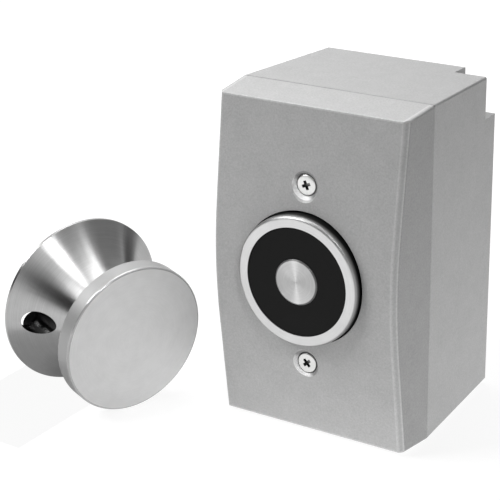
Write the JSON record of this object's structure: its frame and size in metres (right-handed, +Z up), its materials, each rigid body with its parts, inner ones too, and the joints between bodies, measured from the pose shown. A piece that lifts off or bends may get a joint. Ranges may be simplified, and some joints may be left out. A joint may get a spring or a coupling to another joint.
{
  "type": "electromagnetic door holder",
  "caption": "Wall-mounted electromagnetic door holder with a bowed cover over a pot magnet, and its swivelling armature for the door.",
  "frame": {"origin": "on the axis of the magnet, in the face that lies against the wall", "axes": "+X across the unit, to the right seen from the room; +Y into the wall, so the magnet faces -Y; +Z up"},
  "size_m": [0.1377, 0.1056, 0.1142],
  "materials": {
    "silver_paint": "fine sanded silver paint, satin",
    "bright_nickel": "bright nickel plate",
    "zinc_plate": "dull zinc plate",
    "ground_green": "green dyed plate",
    "magnet_steel": "satin nickel plate, turned",
    "white_nylon": "moulded nylon",
    "copper_wire": "enamelled winding",
    "black_resin": "matt filled resin",
    "black_rubber": "matt",
    "red_sleeve": "satin sleeve",
    "board_green": "solder mask",
    "terminal_green": "moulded",
    "varistor_blue": "dipped coating",
    "turned_steel": "fine lathe-turned satin",
    "polished_steel": "ground face, satin, polished edge"
  },
  "bodies": {
    "holder": {"back_box": "silver_paint", "face_cover": "silver_paint", "cover_screws": "bright_nickel", "strap_screws": "zinc_plate", "ground_screw": "ground_green", "mounting_strap": "zinc_plate", "centre_bolt": "zinc_plate", "lock_washer": "zinc_plate", "magnet_pot": "magnet_steel", "magnet_core": "magnet_steel", "coil_bobbin": "white_nylon", "coil_winding": "copper_wire", "potting_ring": "black_resin", "lead_grommet": "black_rubber", "coil_lead_plus": "red_sleeve", "coil_lead_minus": "black_rubber", "circuit_board": "board_green", "board_standoffs": "zinc_plate", "board_screws": "zinc_plate", "terminal_block": "terminal_green", "terminal_screws": "zinc_plate", "rectifier": "black_resin", "varistor": "varistor_blue", "armature_base": "turned_steel", "seat_collar": "zinc_plate"},
    "ball_seat": {"seat_liner": "white_nylon"},
    "armature_plate": {"armature_disc": "polished_steel", "ball_stud": "zinc_plate"}
  },
  "joints": [
    {"name": "swivel_tilt", "type": "hinge", "parent": "holder", "child": "ball_seat", "pos_m": [-0.07432, -0.07547, -0.02899], "axis": [0.3453, 0.9385, 0], "range_deg": [-8, 8]},
    {"name": "swivel_turn", "type": "hinge", "parent": "ball_seat", "child": "armature_plate", "pos_m": [-0.07432, -0.07547, -0.02899], "axis": [0.0981, -0.0361, 0.9945], "range_deg": [-8, 8]}
  ]
}
